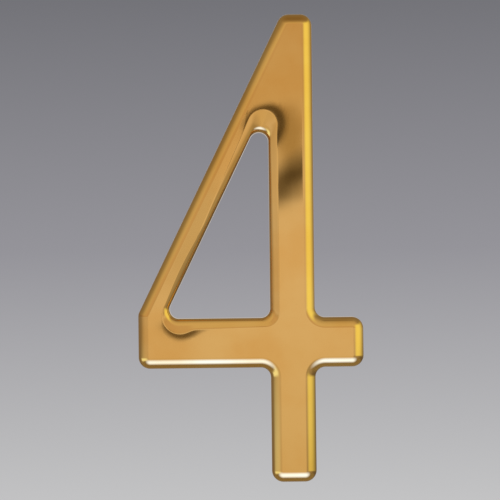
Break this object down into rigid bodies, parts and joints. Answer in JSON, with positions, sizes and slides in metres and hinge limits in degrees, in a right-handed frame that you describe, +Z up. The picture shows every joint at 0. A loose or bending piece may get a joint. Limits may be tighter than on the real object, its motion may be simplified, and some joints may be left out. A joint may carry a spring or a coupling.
{
  "type": "door number",
  "caption": "Polished brass door number 4 with a rolled front edge, hollow back and concealed fixing from behind.",
  "frame": {"origin": "middle of the two fixing holes, on the plane of the back rim, which is on the stem's centreline at half height", "axes": "+Z up as the number is read, +X to the reader's right, +Y from the face into the door; the face looks along -Y"},
  "size_m": [0.0578, 0.005, 0.12],
  "materials": {
    "brass": "polished and lacquered"
  },
  "bodies": {
    "root": {"numeral": "brass"}
  },
  "joints": []
}
